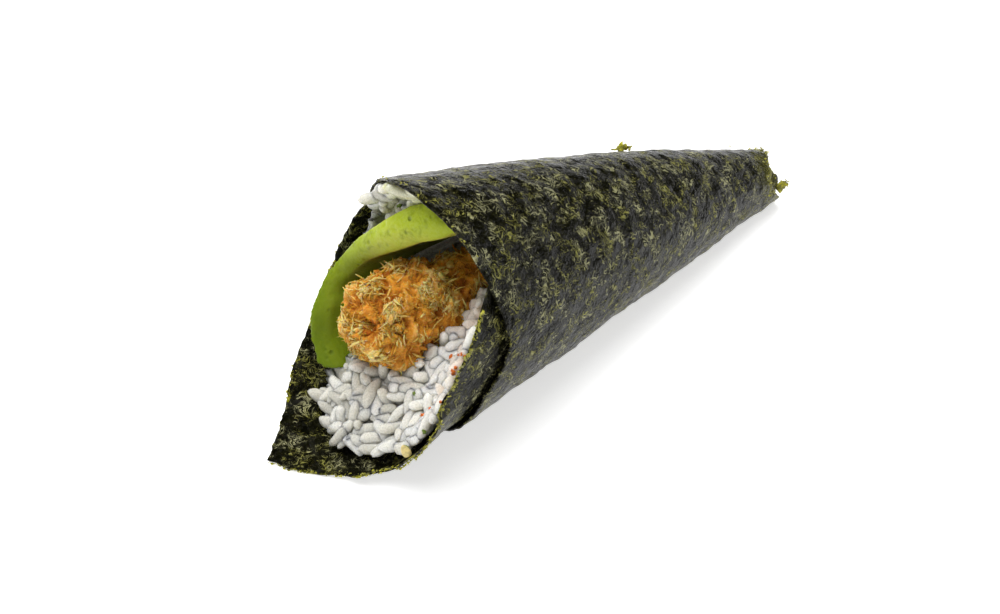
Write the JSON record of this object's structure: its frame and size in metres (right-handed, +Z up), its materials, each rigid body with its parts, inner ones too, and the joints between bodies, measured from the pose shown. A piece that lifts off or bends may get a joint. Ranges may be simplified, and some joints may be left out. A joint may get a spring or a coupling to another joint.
{
  "type": "temaki hand roll",
  "caption": "Cone-shaped hand roll of nori lying on its side, with sushi rice, a slice of avocado and a crumbed fried prawn showing at the open mouth.",
  "frame": {"origin": "centre of the base of the roll's bounding box, on the surface it lies on", "axes": "+X along the roll from its mouth to its tip, +Z up"},
  "size_m": [0.1384, 0.0494, 0.0486],
  "materials": {
    "nori": "satin, fibrous, near black olive green",
    "rice": "moist, translucent white grains",
    "avocado": "moist, lime green at the peeled edge to yellow inside",
    "crumb": "rough golden crumb coat"
  },
  "bodies": {
    "root": {"nori_wrap": "nori", "sushi_rice": "rice", "avocado_slice": "avocado", "fried_prawn": "crumb"}
  },
  "joints": []
}
